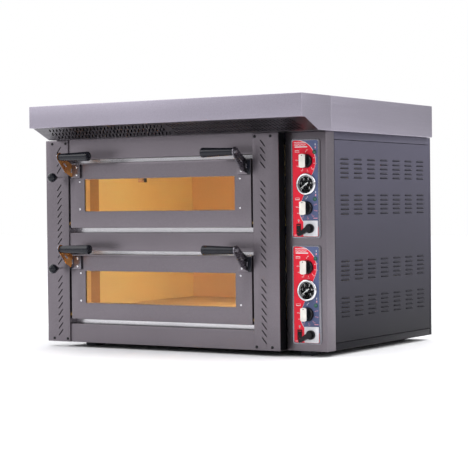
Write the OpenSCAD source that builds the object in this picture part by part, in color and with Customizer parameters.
// Two-deck electric pizza oven for a worktop or stand.
// Lengths are in millimetres. Inside the modules, X runs from the left edge of the front,
// Y runs back from the faces of the pillars, and Z runs up from the underside of the cabinet.
// placed() then moves everything so that the origin is the centre of the footprint, under the feet.

/* [Cabinet] */
// Width of the oven front, over both pillars
front_w = 850; // [840:1:870]
// Height of the cabinet, without feet and hood
body_h = 628; // [626:1:640]
// Depth of the cabinet, from the pillar faces to the rear cover
body_d = 718; // [716:1:760]
// Width of a pillar cover
pillar_w = 87.5; // [84:0.5:90]
// How far the front panel lies behind the pillar faces
panel_recess = 5; // [4:1:6]
// Left edge of the casing, behind the left pillar
casing_x = 48; // [46:1:50]
// Thickness of the steel sheet
sheet = 2; // [1.5:0.5:2]
// Height of the feet
foot_h = 16; // [12:1:30]

/* [Control column] */
// Width of the control column at the right of the front
column_w = 134; // [130:1:150]
// How far the column's face lies behind the pillar faces
column_recess = 36; // [34:1:38]
// Width of a control plate
plate_w = 97; // [95:1:100]
// Height of a control plate
plate_h = 283; // [280:1:284]
// Height of the lower control plate's bottom edge
plate_z = 20.5; // [18:0.5:22]
// Distance from the lower control plate to the upper one
plate_pitch = 303.5; // [302:0.5:306]

/* [Decks] */
// Height of the lower door opening's bottom edge
opening_z = 57; // [55:1:59]
// Height of a door opening
opening_h = 227; // [226:1:230]
// Distance from one deck to the next
deck_pitch = 283; // [282:1:288]
// Width of a baking chamber inside
chamber_w = 620; // [616:1:622]
// Depth of a baking chamber inside
chamber_d = 617; // [600:1:618]
// Height of a baking chamber above its stones
chamber_h = 140; // [136:1:142]

/* [Doors] */
// Width of a door
door_w = 662; // [656:1:664]
// Height of a door
door_h = 200; // [198:1:202]
// Thickness of a door
door_t = 28; // [26:1:28]
// Width of the window
window_w = 550; // [500:1:552]
// Height of the window
window_h = 99; // [90:1:100]
// Length of a grip
grip_len = 112; // [100:1:120]
// Radius of a hinge pin
pin_r = 4; // [3.5:0.1:4]
// Radial running clearance of the moving parts
fit_gap = 0.06; // [0.03:0.01:0.09]

/* [Hood] */
// How far the hood stands out in front of the pillars
hood_out = 131; // [110:1:150]
// Height of the hood's front
hood_face_h = 66; // [60:1:70]
// Height of the whole hood above the cabinet
hood_h = 99.6; // [95:0.1:105]
// How far the hood reaches past the right side of the casing
hood_over = 18; // [10:1:25]
// Left edge of the hood, in from the left edge of the front
hood_x = 42.5; // [38:0.5:45]

/* [Hidden] */
$fn = 48;
lower = 0;
upper = 1;

steel = "#8a8490";
dark_steel = "#4b4854";
bright_steel = "#c9c9cc";
black = "#1b1b1e";

// Casing and frame
casing_r = front_w + 2 + column_w;            // right side of the casing
side_y = 85;                                  // where the right side cover begins
rail = 22;                                    // width of a frame tube
floor_rail_z = 21;                            // top of the bottom rails
top_rail_z = body_h - 22;                     // underside of the top rails
mid_x = front_w / 2;                          // middle of the front
side_panel_end = body_d - 15;                 // rear edge of the side covers
front_post_y = 60;                            // front of the front posts
rear_bar_y = body_d - sheet - rail;           // front of the rear cross bars

// Chambers: heights are for the lower deck
stone_top = 108;
stone_t = 15;
liner_floor = 74;
liner_roof = stone_top + chamber_h + 2;
liner_x = mid_x - chamber_w / 2;
liner_r = mid_x + chamber_w / 2;
frame_y = column_recess;                      // front face of the door frame's flange
liner_y = frame_y + sheet;
liner_back = liner_y + chamber_d;
sleeve_end = 119;                             // how far the door frame's sleeve reaches in
shelf_z = liner_floor - sheet - 21;           // underside of the shelf bars

// Doors: heights are for the lower deck
door_x = mid_x - door_w / 2;
door_r = mid_x + door_w / 2;
door_y = 2;
door_z = 72;
door_back = door_y + door_t;
window_z = door_z + 51;
glass_t = 4;
hinge_y = 12;
hinge_z = door_z + 14;

// Handles, in the YZ plane, measured from the door's face and lower edge
arm_x = 105;
arm_t = 4;
grip_y = -65;
grip_z = 218.5;
grip_r = [11, 14.5];
pad_t = 4;
flange_w = 32;
flange_t = 2.5;
grip_bolt_r = 3;
arm_screws_z = [164.5, 188];
window_screw_x = 132;
window_screw_dz = 43;

// Steam dampers
damper_x = 58;
damper_z = 229;
damper_rod_r = 4;
duct_y = 330;
port_y = [335, 385];
port_z = [216, 239];
duct_face = liner_x - 8;

// Controls: places on the lower plate
knob_x = 922.8;
roof_knob_z = 240.6;
floor_knob_z = 106.4;
gauge = [923.5, 174.5];
lamp_x = 950;
lamps_z = [265.4, 131.7];
rocker = [896, 47];
switch = [937, 48];
plate_x = 871;
plate_t = 3;
plate_face = column_recess - 2;               // face of the recessed field
spindle_r = 3;
knob_r = 20.5;
rear_of_controls = 56;

// Hood
hood_r = casing_r + hood_over;
hood_top = body_h + hood_h;
hood_lip = 19;
hood_slant_y = -36;
seam_y = 36;
hood_back = body_d - 21;
face_z = hood_top - hood_face_h;

// Cable gland
gland = [900, 120];
gland_out = 14;
gland_bore_r = 6.5;

// Frame of the whole oven
overall_w = hood_r;
depth_mid = (body_d + gland_out - hood_out) / 2;

// ---------- helpers ----------

module placed() translate([-overall_w / 2, -depth_mid, foot_h]) children();

// A box from its lowest corner to its highest corner
module block(lo, hi) translate(lo) cube(hi - lo);

// Everything that belongs to a deck is drawn for the lower one and raised for the upper one
module on_deck(deck) translate([0, 0, deck * deck_pitch]) children();

// The same for what sits on the two control plates
module on_plate(deck) translate([0, 0, deck * plate_pitch]) children();

// The children and their mirror image about the middle of the front
module both_sides() {
  children();
  mirrored() children();
}

module mirrored() translate([front_w, 0, 0]) mirror([1, 0, 0]) children();

// Stands an XY outline up in the XZ plane, thick in Y from y0 to y1
module upright(y0, y1) translate([0, y1, 0]) rotate([90, 0, 0]) linear_extrude(y1 - y0) children();

// Stands an outline up in the YZ plane, thick in X from x0 to x1
module sideways(x0, x1) translate([x0, 0, 0]) rotate([90, 0, 90]) linear_extrude(x1 - x0) children();

// A round bar along Y
module bar_y(x, z, r, y0, y1) translate([x, y0, z]) rotate([-90, 0, 0]) cylinder(r = r, h = y1 - y0);

// A round bar along X
module bar_x(y, z, r, x0, x1) translate([x0, y, z]) rotate([0, 90, 0]) cylinder(r = r, h = x1 - x0);

// A flat slot with round ends, centred, len long over its ends
module slot(len, w, turn) rotate(turn) {
  square([len - w, w], center = true);
  for (s = [-1, 1]) translate([s * (len - w) / 2, 0]) circle(d = w, $fn = 20);
}

// A rectangle with round corners, from its lowest corner
module rounded(size, r) {
  translate([r, 0]) square([size.x - 2 * r, size.y]);
  translate([0, r]) square([size.x, size.y - 2 * r]);
  for (x = [r, size.x - r], y = [r, size.y - r]) translate([x, y]) circle(r);
}

// A screw along Y with its head towards the front, at the face y
module screw(x, z, y, head_r, len) {
  translate([x, y, z]) rotate([90, 0, 0]) {
    cylinder(r = head_r, h = 1.2);
    translate([0, 0, 1.2]) cylinder(r1 = head_r, r2 = head_r * 0.6, h = 1.2);
  }
  bar_y(x, z, 2, y - 0.5, y + len);
}

// ---------- base and frame ----------

foot_places = [for (x = [112, 895], y = [100, body_d - 73]) [x, y]];

module base_tray() color(dark_steel) placed() difference() {
  union() {
    block([casing_x + 2, liner_y + 2, 0], [casing_r - 2, body_d - sheet, sheet]);
    block([casing_x + 24, liner_y + 2, sheet], [front_w - 4, liner_y + 2 + sheet, floor_rail_z - 2]);
  }
  for (p = foot_places) translate([p.x, p.y, -1]) cylinder(r = 4.2, h = sheet + 2);
}

module feet() color(black) placed() for (p = foot_places) translate([p.x, p.y, 0]) {
  translate([-20, -25, -foot_h]) cube([40, 50, foot_h]);
  cylinder(r = 4, h = 12);
}

// Tubes stand a hair apart where they are welded to each other
weld_gap = 0.2;

module chassis_frame() color(dark_steel) placed() {
  z0 = sheet;
  post_y = side_panel_end + 1;
  bars_z = [z0, shelf_z, shelf_z + deck_pitch, top_rail_z];
  left_post = [casing_x + rail + weld_gap, casing_x + rail + weld_gap + 20];
  right_post = [casing_r - 2 - rail, casing_r - 2];
  // Side rails, and the rear posts behind them
  for (x = [casing_x, casing_r - rail]) {
    y0 = x == casing_x ? 9 : side_y;
    for (z = [[z0, floor_rail_z], [top_rail_z, body_h]])
      block([x, y0, z[0]], [x + rail, post_y - weld_gap, z[1]]);
    block([x, post_y, z0], [x + rail, body_d - sheet, body_h]);
  }
  // Front posts
  for (x = [left_post, right_post])
    block([x[0], front_post_y, z0], [x[1], side_y - weld_gap, body_h]);
  // Cross bars at the floor, under each chamber and at the top
  for (z = bars_z) {
    h = z == z0 ? floor_rail_z - z0 : z == top_rail_z ? rail : 21;
    block([left_post[1] + weld_gap, front_post_y, z],
          [right_post[0] - weld_gap, front_post_y + rail, z + h]);
    block([casing_x + rail + weld_gap, rear_bar_y, z],
          [casing_r - rail - weld_gap, body_d - sheet, z + h]);
  }
  // Bars that carry the chambers
  for (z = [bars_z[1], bars_z[2]], x = [160, 670])
    block([x, front_post_y + rail + weld_gap, z], [x + 20, rear_bar_y - weld_gap, z + 21]);
}

// ---------- casing ----------

louvre = [50, 3.2];
louvre_rows = [548, 443, 252.2, 146.4];

// Four banks of pressed louvres in a panel that starts at y0
module louvre_slots() for (bank = louvre_rows, row = [0:4], col = [0:6])
  translate([120.3 + col * 82.7, bank - row * 13.3]) square(louvre);

module side_cover(x0, x1, y0) sideways(x0, x1) difference() {
  translate([y0, floor_rail_z + 1.5])
    square([side_panel_end - y0, top_rail_z - floor_rail_z - 3]);
  louvre_slots();
}

module left_side_cover() color(dark_steel) placed() side_cover(casing_x, casing_x + sheet, 9);

module right_side_cover() color(dark_steel) placed()
  side_cover(casing_r - sheet, casing_r, side_y + 1);

module rear_cover() color(dark_steel) placed() upright(body_d - sheet, body_d) difference() {
  translate([casing_x, 0]) square([casing_r - casing_x, body_h]);
  translate(gland) circle(10.2);
  for (x = [200:110:640], z = [440:16:560]) translate([x, z]) square([70, 4]);
}

// Slot heights in a pillar, in three groups with the damper knobs between them
slot_pitch = 21;
pillar_slots = [
  for (i = [0:3]) 598 - i * slot_pitch,
  for (i = [0:11]) 481 - i * slot_pitch,
  for (i = [0:8]) 196.5 - i * slot_pitch
];
pillar_screws = [for (x = [26, 78.5], z = [9.8, body_h - 10.4]) [x, z]];

// The left cover; the right one is its mirror image without the knobs' holes
module pillar_cover(damper_holes) difference() {
  union() {
    block([0, 0, 0], [pillar_w, sheet, body_h]);
    block([0, sheet, 0], [sheet, column_recess, body_h]);
    block([pillar_w - sheet, sheet, 0], [pillar_w, panel_recess, body_h]);
  }
  upright(-1, sheet + 1) for (z = pillar_slots) translate([52, z]) slot(25, 3.5, 50);
  for (p = pillar_screws) bar_y(p.x, p.y, 2.1, -1, sheet + 1);
  if (damper_holes) for (deck = [lower, upper]) on_deck(deck)
    bar_y(damper_x, damper_z, damper_rod_r + fit_gap, -1, sheet + 1);
}

module left_pillar_cover() color(steel) placed() pillar_cover(true);

module right_pillar_cover() color(steel) placed() mirrored() pillar_cover(false);

// One sheet behind the pillars, folded back round both door openings
module facade_panel() color(steel) placed() difference() {
  y0 = panel_recess;
  union() {
    block([sheet, y0, 0], [front_w - sheet, y0 + sheet, body_h]);
    for (deck = [lower, upper]) on_deck(deck)
      block([pillar_w - sheet, y0, opening_z - sheet],
            [front_w - pillar_w + sheet, frame_y, opening_z + opening_h + sheet]);
  }
  for (deck = [lower, upper]) on_deck(deck) {
    block([pillar_w, -1, opening_z], [front_w - pillar_w, frame_y + 1, opening_z + opening_h]);
    both_sides() bar_x(hinge_y, hinge_z, 5.6, pillar_w - 10, pillar_w + 10);
    bar_y(damper_x, damper_z, damper_rod_r + 2, 0, 20);
  }
  both_sides() for (p = pillar_screws) bar_y(p.x, p.y, 2.1, 0, 20);
}

module front_screws() color(black) placed() both_sides()
  for (p = pillar_screws) screw(p.x, p.y, 0, 4.2, panel_recess + sheet + 4);

// ---------- control column ----------

// Cut-outs for what goes through the plate and the column's face
module control_holes() {
  for (z = [roof_knob_z, floor_knob_z]) translate([knob_x, z]) circle(5);
  translate(gauge) circle(24.4);
  for (z = lamps_z) translate([lamp_x, z]) circle(4.7);
  translate(rocker - [6.2, 13.2]) square([12.4, 26.4]);
  translate(switch) circle(14.3);
}

module control_column() color(steel) placed() difference() {
  union() {
    block([front_w + 2, column_recess, 0], [casing_r, column_recess + sheet, body_h]);
    block([casing_r - sheet, column_recess, 0], [casing_r, side_y, body_h]);
    block([front_w + 2, column_recess, sheet], [front_w + 2 + sheet, front_post_y, body_h]);
  }
  upright(column_recess - 1, column_recess + sheet + 1)
    for (deck = [lower, upper]) translate([0, deck * plate_pitch]) control_holes();
}

module control_plates() color(bright_steel) placed() for (deck = [lower, upper]) on_plate(deck) {
  difference() {
    upright(column_recess - plate_t, column_recess)
      translate([plate_x, plate_z]) rounded([plate_w, plate_h], 9);
    upright(column_recess - plate_t - 1, plate_face)
      translate([plate_x + 7, plate_z + 4]) rounded([plate_w - 14, plate_h - 8], 5);
    upright(0, column_recess + 1) control_holes();
  }
}

module pilot_lamps() color("#0e5a3c") placed() for (deck = [lower, upper]) on_plate(deck)
  for (z = lamps_z) translate([lamp_x, 0, z]) rotate([-90, 0, 0]) rotate_extrude()
    // Half section: radius and depth from the front
    union() {
      translate([0, plate_face - 2]) square([6, 2]);
      translate([0, plate_face]) square([4.5, 14]);
      intersection() {
        translate([0, plate_face - 2]) circle(5);
        translate([0, plate_face - 8]) square([6, 6]);
      }
    }

gauge_front = plate_face - 9;                 // front of the bezel
dial_y = plate_face - 4;                      // face of the dial

module gauge_cases() color(bright_steel) placed() for (deck = [lower, upper]) on_plate(deck)
  translate([gauge.x, 0, gauge[1]]) rotate([-90, 0, 0]) {
    rotate_extrude($fn = 96) polygon([
      [0, dial_y], [27, dial_y], [27, gauge_front + 1], [25.5, gauge_front + 1],
      [25.5, gauge_front], [29.5, gauge_front], [32, gauge_front + 3], [32, plate_face],
      [24, plate_face], [24, rear_of_controls + 2], [0, rear_of_controls + 2]
    ]);
    translate([0, 0, dial_y - 2.4]) cylinder(r = 1, h = 3);
  }

module gauge_lenses() color("#dfe8ee", 0.35) placed() for (deck = [lower, upper]) on_plate(deck)
  bar_y(gauge.x, gauge[1], 26.9, gauge_front + 1, gauge_front + 2.2);

pointer_turn = 35;                            // below the horizontal, to the left

module gauge_pointer(deck) color("white") placed() on_plate(deck)
  translate([gauge.x, 0, gauge[1]]) difference() {
    union() {
      bar_y(0, 0, 3, dial_y - 1.9, dial_y - 0.7);
      upright(dial_y - 1.7, dial_y - 0.9) rotate(180 + pointer_turn)
        polygon([[-8, 1.6], [-8, -1.6], [20, -0.4], [20, 0.4]]);
    }
    bar_y(0, 0, 1 + fit_gap, dial_y - 5, dial_y + 1);
  }

// Knob with its spindle; its bar points up at rest
module heat_knob(deck, z) color(black) placed() on_plate(deck) {
  translate([knob_x, 0, z]) rotate([90, 0, 0]) translate([0, 0, -plate_face]) {
    translate([0, 0, 0.5]) cylinder(r = knob_r, h = 9);
    translate([0, 0, 9.5]) cylinder(r1 = knob_r, r2 = knob_r - 2, h = 3);
    intersection() {
      translate([-10, -knob_r, 12]) cube([20, 2 * knob_r, 15]);
      cylinder(r = knob_r - 0.5, h = 28);
    }
  }
  bar_y(knob_x, z, spindle_r, plate_face - 2, rear_of_controls - 4);
}

module thermostat_bodies() color("#b8b8b0") placed() for (deck = [lower, upper]) on_plate(deck)
  for (z = [roof_knob_z, floor_knob_z]) difference() {
    union() {
      block([knob_x - 18, column_recess + sheet, z - 18], [knob_x + 18, rear_of_controls, z + 18]);
      bar_y(knob_x, z, 4.6, plate_face + 0.5, column_recess + sheet + 1);
    }
    bar_y(knob_x, z, spindle_r + fit_gap, 0, rear_of_controls - 3);
  }

rocker_size = [14, 29];                       // outside of the housing's rim
rocker_well = [9.6, 22];                      // opening that the rocker moves in
rocker_pivot_y = plate_face + 3;

module rocker_housings() color(black) placed() for (deck = [lower, upper]) on_plate(deck)
  translate([rocker.x, 0, rocker[1]]) difference() {
    union() {
      block([-rocker_size.x, 0, -rocker_size.y] / 2 + [0, plate_face - 2, 0],
            [rocker_size.x, 0, rocker_size.y] / 2 + [0, plate_face, 0]);
      block([-6, plate_face, -13], [6, rear_of_controls - 2, 13]);
    }
    block([-rocker_well.x, 0, -rocker_well.y] / 2 + [0, plate_face - 3, 0],
          [rocker_well.x, 0, rocker_well.y] / 2 + [0, plate_face + 12, 0]);
    bar_x(rocker_pivot_y, 0, 1.5 + fit_gap, -5.6, 5.6);
  }

rocker_tilt = 8;

// Rocker with its trunnions, pressed in at the bottom at rest
module rocker_button(deck) color(black) placed() on_plate(deck)
  translate([rocker.x, rocker_pivot_y, rocker[1]]) {
    rotate([rocker_tilt, 0, 0]) sideways(-4.5, 4.5)
      polygon([[-5, -9.6], [-3.6, 0], [-5, 9.6], [0, 9.6], [3.5, 3], [3.5, -3], [0, -9.6]]);
    bar_x(0, 0, 1.5, -5.5, 5.5);
  }

switch_w = 45;
switch_t = 6;

module switch_plates() color("#e8e8ea") placed() for (deck = [lower, upper]) on_plate(deck)
  difference() {
    union() {
      upright(plate_face - switch_t, plate_face)
        translate(switch - [switch_w, switch_w] / 2) rounded([switch_w, switch_w], 2);
      bar_y(switch.x, switch[1], 14, plate_face - 1, rear_of_controls);
    }
    bar_y(switch.x, switch[1], spindle_r + fit_gap, 0, rear_of_controls - 3);
  }

lever_len = 38;
lever_turn = 210;

// Lever of the rotary switch, pointing down to the left at rest
module switch_lever(deck) color(black) placed() on_plate(deck) {
  front = plate_face - switch_t - 0.5;
  bar_y(switch.x, switch[1], 13.5, front - 7, front);
  bar_y(switch.x, switch[1], spindle_r, front - 1, rear_of_controls - 4);
  upright(front - 17, front - 7) translate(switch) rotate(lever_turn) {
    circle(9);
    polygon([[0, 8], [0, -8], [lever_len - 5, -5], [lever_len - 5, 5]]);
    translate([lever_len - 5, 0]) circle(5);
  }
}

// ---------- hood ----------

// Folded front, top and cheeks, ahead of the seam
module hood_canopy() color("#a39ca6") placed() {
  block([hood_x, -hood_out, face_z], [hood_r, sheet - hood_out, hood_top]);
  block([hood_x, -hood_out, face_z], [hood_r, hood_lip - hood_out, face_z + sheet]);
  block([hood_x, -hood_out, hood_top - sheet], [hood_r, seam_y, hood_top]);
  for (x = [hood_x, hood_r - sheet]) sideways(x, x + sheet) polygon([
    [-hood_out, face_z], [hood_lip - hood_out, face_z], [hood_slant_y, body_h],
    [seam_y, body_h], [seam_y, hood_top], [-hood_out, hood_top]
  ]);
}

vent_pitch = 13;
vent_middle = (hood_x + hood_r) / 2;
slant_run = hood_slant_y + hood_out - hood_lip;
slant_rise = face_z - body_h;
slant_angle = atan2(slant_rise, slant_run);

// One row of slanted slots on each side of the middle, leaning away from it
module vent_row(v, shift) for (side = [-1, 1], i = [1:33])
  translate([side * (shift + i * vent_pitch), v]) slot(22, 4, -side * 60);

// Slanted, slotted sheet under the canopy, with a level part that lies on the cabinet
module hood_vent_panel() color(dark_steel) placed() difference() {
  sideways(hood_x + sheet, hood_r - sheet) polygon([
    [seam_y - sheet, body_h], [hood_slant_y, body_h], [hood_lip - hood_out, face_z],
    [hood_lip - hood_out, face_z + sheet], [hood_slant_y, body_h + sheet],
    [seam_y - sheet, body_h + sheet]
  ]);
  // The rows are laid out on the slanted face, up from its lower edge
  translate([vent_middle, hood_slant_y, body_h]) rotate([-slant_angle, 0, 0])
    mirror([0, 1, 0]) translate([0, 0, -5]) linear_extrude(12)
      for (row = [0:2]) vent_row(16 + row * 24, row % 2 * vent_pitch / 2);
}

// Top cover behind the canopy, with feet flanges that lie on the cabinet's rails
module hood_top_cover() color("#9a939e") placed() {
  for (x = [hood_x, hood_r - sheet])
    block([x, seam_y, body_h], [x + sheet, hood_back, hood_top]);
  block([hood_x, hood_back - sheet, body_h], [hood_r, hood_back, hood_top]);
  block([hood_x, seam_y, hood_top - sheet], [hood_r, hood_back, hood_top]);
  block([hood_x, seam_y, body_h], [casing_x + rail, hood_back, body_h + sheet]);
  block([casing_r - rail, seam_y, body_h], [hood_r, hood_back, body_h + sheet]);
  block([hood_x, hood_back - 20, body_h], [hood_r, hood_back, body_h + sheet]);
}

// ---------- baking chambers ----------

element_rows = [200, 480];
element_r = 4;
element_half = 60;
roof_element_z = liner_roof - 10;
floor_element_z = liner_floor + 8;
chamber_lamp = [150, 205];

module element_legs(r, x0, x1)
  for (y = element_rows, s = [-1, 1], z = [roof_element_z, floor_element_z])
    bar_x(y + s * element_half, z, r, x0, x1);

// Box of sheet steel, open to the front, with ledges for the stones
module chamber_liner(deck) color("#b98a4a") placed() on_deck(deck) difference() {
  union() {
    difference() {
      block([liner_x - sheet, liner_y, liner_floor - sheet],
            [liner_r + sheet, liner_back + sheet, liner_roof + sheet]);
      block([liner_x, liner_y - 1, liner_floor], [liner_r, liner_back, liner_roof]);
    }
    for (x = [liner_x, mid_x - 10, liner_r - 12])
      block([x, 62, stone_top - stone_t - 4], [x + (x == mid_x - 10 ? 20 : 12), liner_back,
            stone_top - stone_t]);
  }
  // Steam port, lamp opening and holes for the heating elements
  block([liner_x - 9, port_y[0], port_z[0]], [liner_x + 1, port_y[1], port_z[1]]);
  bar_x(chamber_lamp.x, chamber_lamp.y, 18, liner_r - 1, liner_r + 9);
  element_legs(element_r + 0.5, liner_r - 1, liner_r + 9);
}

module baking_stones() color("#cdbb9a") placed() for (deck = [lower, upper]) on_deck(deck)
  both_sides() block([liner_x + 1, 64, stone_top - stone_t],
                     [mid_x - 1, liner_back - 1, stone_top]);

// Hairpin rods under the roof and under the stones, with their ends in the electrics bay
module heating_elements() color("#5a5550") placed() for (deck = [lower, upper]) on_deck(deck) {
  element_legs(element_r, liner_x + 85, liner_r + 40);
  for (y = element_rows, z = [roof_element_z, floor_element_z])
    translate([liner_x + 85, y, z]) rotate(90) rotate_extrude(angle = 180)
      translate([element_half, 0]) circle(element_r, $fn = 24);
}

module chamber_lamps() color("#ffe2a8") placed() for (deck = [lower, upper]) on_deck(deck) {
  bar_x(chamber_lamp.x, chamber_lamp.y, 24, liner_r - 4, liner_r);
  bar_x(chamber_lamp.x, chamber_lamp.y, 17, liner_r - 1, liner_r + 50);
}

// Slabs of mineral wool round the chambers, clear of the frame and the steam duct
module insulation() color("#d8c98a") placed() {
  wool_x = [duct_face + 3, liner_r + 35];
  wool_y = [90, liner_back - 5];
  low_shelf = shelf_z + deck_pitch - 4;
  block([190, wool_y[0], 24], [660, wool_y[1], shelf_z - 1]);
  block([wool_x[0], wool_y[0], liner_roof + 4], [wool_x[1], wool_y[1], low_shelf]);
  block([wool_x[0], wool_y[0], liner_roof + deck_pitch + 4], [wool_x[1], wool_y[1], top_rail_z - 6]);
  for (deck = [lower, upper]) on_deck(deck) {
    for (y = [[wool_y[0], 255], [405, wool_y[1]]])
      block([liner_x - 31, y[0], liner_floor + 1], [liner_x - 3, y[1], liner_roof]);
    block([liner_r + 4, wool_y[0], 95], [wool_x[1], wool_y[1], 185]);
    block([liner_x - 31, liner_back + 4, liner_floor + 1],
          [wool_x[1], rear_bar_y - 4, liner_roof + (deck == lower ? 80 : 66)]);
  }
}

// Upright channel that takes steam from both chambers up into the hood
module steam_duct() color(bright_steel) placed() difference() {
  union() {
    block([duct_face - 23, duct_y, 195], [duct_face, duct_y + 60, body_h]);
    // Guides above and below each damper plate
    for (deck = [lower, upper], z = [205, 244]) on_deck(deck)
      block([duct_face - 2, 300, z], [liner_x - sheet, 398, z + 6]);
  }
  block([duct_face - 21, duct_y + 2, 190], [duct_face - 2, duct_y + 58, body_h + 1]);
  for (deck = [lower, upper]) on_deck(deck)
    block([duct_face - 3, port_y[0], port_z[0]], [duct_face + 1, port_y[1], port_z[1]]);
}

// Flange round the chamber's mouth with a sleeve that lines its front part
module door_frames() color(bright_steel) placed() for (deck = [lower, upper]) on_deck(deck)
  difference() {
    union() {
      block([pillar_w + 0.5, frame_y, opening_z + 0.5],
            [front_w - pillar_w - 0.5, frame_y + sheet, opening_z + opening_h - 0.5]);
      block([liner_x, frame_y, stone_top - sheet], [liner_r, sleeve_end, liner_roof]);
    }
    block([liner_x + sheet, 0, stone_top],
          [liner_r - sheet, sleeve_end + 1, liner_roof - sheet]);
    block([0, 62, 0], [front_w, sleeve_end + 1, stone_top + 0.2]);
  }

module hinge_bushes() color("#b08d3e") placed() for (deck = [lower, upper]) on_deck(deck)
  both_sides() difference() {
    union() {
      bar_x(hinge_y, hinge_z, 5.5, pillar_w - 5, door_x - 1);
      bar_x(hinge_y, hinge_z, 8, pillar_w, pillar_w + 2);
    }
    bar_x(hinge_y, hinge_z, pin_r + fit_gap, 0, door_x + 1);
  }

// ---------- doors ----------

window_screws = [for (dz = [-window_screw_dz, window_screw_dz]) [window_screw_x, door_z + 100.5 + dz]];
arm_screws = [for (z = arm_screws_z) [arm_x + 19, door_z + z]];

// Outer tray of the door, open to the back
module door_skin(deck) color(steel) placed() on_deck(deck) difference() {
  block([door_x, door_y, door_z], [door_r, door_back - sheet, door_z + door_h]);
  block([door_x + sheet, door_y + sheet, door_z + sheet],
        [door_r - sheet, door_back, door_z + door_h - sheet]);
  block([mid_x - window_w / 2, 0, window_z], [mid_x + window_w / 2, 20, window_z + window_h]);
  both_sides() {
    for (p = concat(window_screws, arm_screws)) bar_y(p.x, p.y, 2.1, 0, 20);
    bar_x(hinge_y, hinge_z, pin_r + 0.05, door_x - 1, door_x + 10);
  }
}

// Inner panel with a deep collar that holds the glass against the skin
module door_liner(deck) color(bright_steel) placed() on_deck(deck) difference() {
  win = [mid_x - window_w / 2, mid_x + window_w / 2];
  glass_back = door_y + sheet + glass_t;
  union() {
    block([door_x, door_back - sheet, door_z], [door_r, door_back, door_z + door_h]);
    block([win[0] - sheet, glass_back, window_z - sheet],
          [win[1] + sheet, door_back, window_z + window_h + sheet]);
  }
  block([win[0], 0, window_z], [win[1], 50, window_z + window_h]);
}

module door_glass(deck) color("#e8c07a", 0.3) placed() on_deck(deck)
  block([mid_x - window_w / 2 - 8, door_y + sheet, window_z - 8],
        [mid_x + window_w / 2 + 8, door_y + sheet + glass_t, window_z + window_h + 8]);

module door_screws(deck) color(bright_steel) placed() on_deck(deck) both_sides() {
  for (p = window_screws) screw(p.x, p.y, door_y, 3.6, 8);
  for (p = arm_screws) screw(p.x, p.y, door_y - pad_t - flange_t, 3.6, 16);
  // Bolt that holds the grip, with its head on the outside of the arm
  bar_x(grip_y, door_z + grip_z, 5, arm_x - arm_t / 2 - 3, arm_x - arm_t / 2);
  bar_x(grip_y, door_z + grip_z, grip_bolt_r, arm_x - arm_t / 2 - 1, arm_x + 60);
}

// Side view of an arm: it rises from the door's face to the end of the grip
module arm_outline() difference() {
  union() {
    polygon([[-pad_t + 2, 157], [-pad_t + 2, 196], [-4, 196], [-33, 213], [-58.5, 231],
             [grip_y, grip_z], [-77, 211], [-42, 174], [-16, 161]]);
    translate([grip_y, grip_z]) circle(14);
  }
  translate([-38.8, 195]) slot(18, 5, -37.5);
  translate([-8, 177.5]) slot(14, 5, 90);
  translate([grip_y, grip_z]) circle(grip_bolt_r + 0.1);
}

module handle_arms(deck) color(bright_steel) placed() on_deck(deck) both_sides() difference() {
  y0 = door_y - pad_t;
  translate([0, 0, door_z]) {
    sideways(arm_x - arm_t / 2, arm_x + arm_t / 2) arm_outline();
    block([arm_x - arm_t / 2, y0 - flange_t, 155], [arm_x + flange_w, y0, 197]);
  }
  for (p = arm_screws) bar_y(p.x, p.y, 2.1, -20, 5);
}

// Barrel grips on the arms, and the heat-proof pads between the arms and the door
module handle_grips(deck) color(black) placed() on_deck(deck) both_sides() {
  translate([arm_x + arm_t / 2, grip_y, door_z + grip_z]) rotate([0, 90, 0]) rotate_extrude()
    difference() {
      polygon([[0, 0], [grip_r[0] - 1.5, 0], [grip_r[0], 1.5], [grip_r[1], grip_len - 4],
               [grip_r[1] - 1.2, grip_len - 1.2], [grip_r[1] - 4, grip_len], [0, grip_len]]);
      translate([-1, -1]) square([grip_bolt_r + 1.1, 63]);
    }
  difference() {
    block([door_x, door_y - pad_t, door_z + 154], [arm_x + flange_w + 2, door_y, door_z + 198]);
    for (p = arm_screws) bar_y(p.x, p.y, 2.1, -20, 5);
  }
}

module hinge_pins(deck) color(bright_steel) placed() on_deck(deck) both_sides() {
  bar_x(hinge_y, hinge_z, pin_r, pillar_w - 6, door_x + 12);
  bar_x(hinge_y, hinge_z, 7, door_x + sheet, door_x + sheet + 3);
}

// ---------- steam dampers ----------

plate_gap_x = [liner_x - sheet - 4, liner_x - sheet - 2];

// Rod through the left pillar with a cranked end that carries the damper plate
module damper_rod(deck) color(bright_steel) placed() on_deck(deck) {
  bar_y(damper_x, damper_z, damper_rod_r, -33, 305);
  block([damper_x - 4, 302, damper_z - 6], [plate_gap_x[1], 308, damper_z + 6]);
  block([plate_gap_x[0], 302, 212], [plate_gap_x[1], 372, 243]);
}

// Pear-shaped knob on the end of the rod
module damper_knob(deck) color(black) placed() on_deck(deck)
  translate([damper_x, -43, damper_z]) rotate([-90, 0, 0]) rotate_extrude() difference() {
    union() {
      intersection() {
        circle(14.5);
        translate([0, -15]) square([15, 30]);
      }
      polygon([[0, 5], [13.3, 5.8], [7, 20], [0, 20]]);
    }
    translate([-1, 10]) square([damper_rod_r + 1.02, 12]);
  }

// ---------- electrics ----------

module terminal_block() color("#efe9d8") placed() difference() {
  block([860, body_d - 26, 160], [960, body_d - sheet, 196]);
  for (i = [0:4]) bar_y(872 + i * 19, 178, 3.2, body_d - 27, body_d - 14);
}

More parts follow.
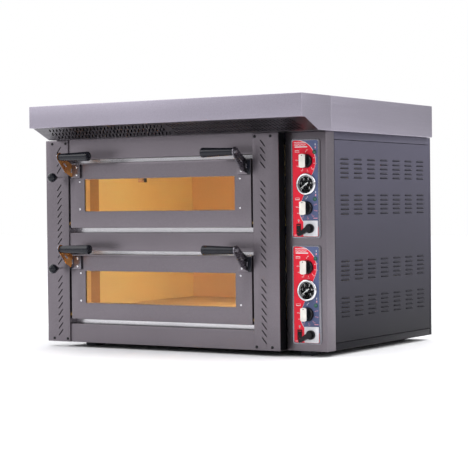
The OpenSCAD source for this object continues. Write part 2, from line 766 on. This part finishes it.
// Gland with its locknut inside the rear cover
module cable_gland() color(black) placed() translate([gland.x, 0, gland.y]) difference() {
  union() {
    bar_y(0, 0, 10, body_d - 12, body_d + 4);
    translate([0, body_d, 0]) rotate([-90, 0, 0]) cylinder(r = 15, h = 6, $fn = 6);
    bar_y(0, 0, 12, body_d + 6, body_d + gland_out);
    translate([0, body_d - sheet - 6, 0]) rotate([-90, 0, 0]) cylinder(r = 15, h = 6, $fn = 6);
  }
  bar_y(0, 0, gland_bore_r, body_d - 20, body_d + 20);
}

// ---------- nodes ----------

base_tray();
feet();
chassis_frame();
rear_cover();
left_side_cover();
right_side_cover();
left_pillar_cover();
right_pillar_cover();
facade_panel();
control_column();
hood_canopy();
hood_vent_panel();
hood_top_cover();
chamber_liner(lower);  // lower_chamber_liner
chamber_liner(upper);  // upper_chamber_liner
baking_stones();
heating_elements();
insulation();
chamber_lamps();
steam_duct();
door_frames();
hinge_bushes();
control_plates();
pilot_lamps();
gauge_cases();
gauge_lenses();
rocker_housings();
switch_plates();
thermostat_bodies();
terminal_block();
cable_gland();
front_screws();
door_skin(lower);  // lower_door_skin
door_liner(lower);  // lower_door_liner
door_glass(lower);  // lower_door_glass
door_screws(lower);  // lower_door_screws
handle_arms(lower);  // lower_handle_arms
handle_grips(lower);  // lower_handle_grips
hinge_pins(lower);  // lower_hinge_pins
door_skin(upper);  // upper_door_skin
door_liner(upper);  // upper_door_liner
door_glass(upper);  // upper_door_glass
door_screws(upper);  // upper_door_screws
handle_arms(upper);  // upper_handle_arms
handle_grips(upper);  // upper_handle_grips
hinge_pins(upper);  // upper_hinge_pins
damper_rod(lower);  // lower_damper_rod
damper_knob(lower);  // lower_damper_knob
damper_rod(upper);  // upper_damper_rod
damper_knob(upper);  // upper_damper_knob
heat_knob(lower, roof_knob_z);  // lower_roof_heat_knob
heat_knob(lower, floor_knob_z);  // lower_floor_heat_knob
heat_knob(upper, roof_knob_z);  // upper_roof_heat_knob
heat_knob(upper, floor_knob_z);  // upper_floor_heat_knob
gauge_pointer(lower);  // lower_gauge_pointer
gauge_pointer(upper);  // upper_gauge_pointer
switch_lever(lower);  // lower_switch_lever
switch_lever(upper);  // upper_switch_lever
rocker_button(lower);  // lower_rocker
rocker_button(upper);  // upper_rocker
